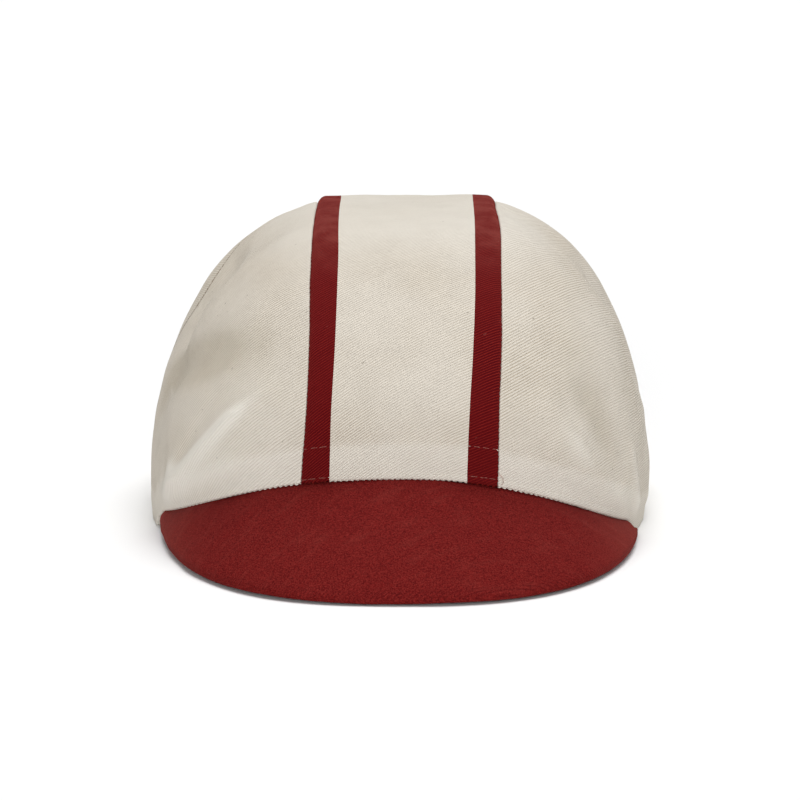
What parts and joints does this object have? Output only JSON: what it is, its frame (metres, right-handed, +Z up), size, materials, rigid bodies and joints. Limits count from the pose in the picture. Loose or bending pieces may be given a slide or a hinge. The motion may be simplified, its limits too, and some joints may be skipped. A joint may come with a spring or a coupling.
{
  "type": "cycling cap",
  "caption": "Soft cotton cycling cap: rounded panelled crown, striped strip from front to nape, short arched brim that rests on the surface, open underneath for a head.",
  "frame": {"origin": "on the surface that the cap stands on, under the middle of its bounding box", "axes": "+Z up through the crown, -Y towards the brim, +X to the right as seen from in front of the brim"},
  "size_m": [0.1686, 0.2414, 0.1045],
  "materials": {
    "cream_twill": "matt cotton twill",
    "burgundy_twill": "matt cotton twill",
    "hem_twill": "matt cotton twill",
    "brim_cloth": "brushed cotton"
  },
  "bodies": {
    "root": {"side_panel_front_left": "cream_twill", "side_panel_front_right": "cream_twill", "side_panel_back_left": "cream_twill", "side_panel_back_right": "cream_twill", "centre_panel": "cream_twill", "stripe_left": "burgundy_twill", "stripe_right": "burgundy_twill", "hem_band": "hem_twill", "brim_upper_cover": "brim_cloth", "brim_under_cover": "brim_cloth"}
  },
  "joints": []
}
